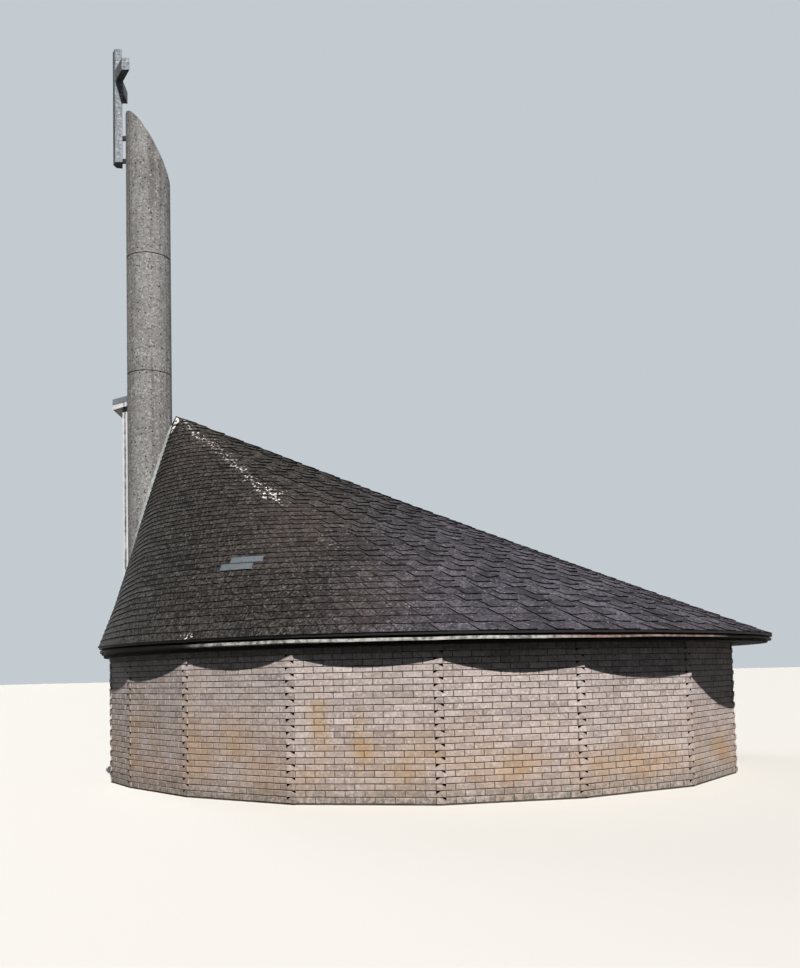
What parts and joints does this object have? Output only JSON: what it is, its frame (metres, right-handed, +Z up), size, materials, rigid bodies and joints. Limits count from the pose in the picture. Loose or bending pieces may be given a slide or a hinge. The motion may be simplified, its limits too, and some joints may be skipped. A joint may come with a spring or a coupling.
{
  "type": "modern church building",
  "caption": "Small modern church: round brick ring wall, oblique conical shingle roof, round slanted concrete tower with a cross and a slot window.",
  "frame": {"origin": "centre of the ring wall's plan, on the underside of the floor slab at ground level", "axes": "+Z up, -Y towards the front seen in the picture, -X towards the tower, +X towards the entrance"},
  "size_m": [11.584, 11.187, 13.275],
  "materials": {
    "brick": "pale buff facing brick, stretcher bond with grey mortar",
    "floor_concrete": "floated concrete",
    "door_timber": "stained timber",
    "shingle": "mineral surfaced bitumen strip shingles",
    "head_timber": "sawn softwood",
    "fascia": "dark stained board",
    "eave_strip": "white painted sheet",
    "soffit": "dark stained boarding",
    "tower_concrete": "precast concrete with small blowholes",
    "cross_concrete": "precast concrete",
    "bracket_steel": "grey painted steel",
    "glass": "clear glazing",
    "white_paint": "white painted",
    "cap_metal": "grey sheet metal"
  },
  "bodies": {
    "root": {"floor_slab": "floor_concrete", "wall_panel_01": "brick", "wall_panel_02": "brick", "wall_panel_03": "brick", "wall_panel_04": "brick", "wall_panel_05": "brick", "wall_panel_06": "brick", "wall_panel_07": "brick", "wall_panel_08": "brick", "wall_panel_09": "brick", "wall_panel_10_south": "brick", "wall_panel_10_north": "brick", "wall_panel_11": "brick", "wall_panel_12": "brick", "wall_panel_13": "brick", "wall_panel_14": "brick", "wall_panel_15": "brick", "wall_panel_16": "brick", "wall_panel_17": "brick", "wall_panel_18": "brick", "wall_panel_19": "brick", "wall_panel_20": "brick", "door_frame": "door_timber", "door_leaf_south": "door_timber", "door_leaf_north": "door_timber", "roof_shell": "shingle", "wall_head": "head_timber", "eave_fascia": "fascia", "eave_strip": "eave_strip", "eave_soffit": "soffit", "tower_section_1": "tower_concrete", "tower_section_2": "tower_concrete", "tower_section_3": "tower_concrete", "tower_section_4": "tower_concrete", "cross_shaft": "cross_concrete", "cross_arm_south": "cross_concrete", "cross_arm_north": "cross_concrete", "cross_bracket_1": "bracket_steel", "cross_bracket_2": "bracket_steel", "lantern_frame": "white_paint", "lantern_glass_west": "glass", "lantern_glass_north": "glass", "lantern_cap": "white_paint", "lantern_cap_roof": "cap_metal"}
  },
  "joints": []
}
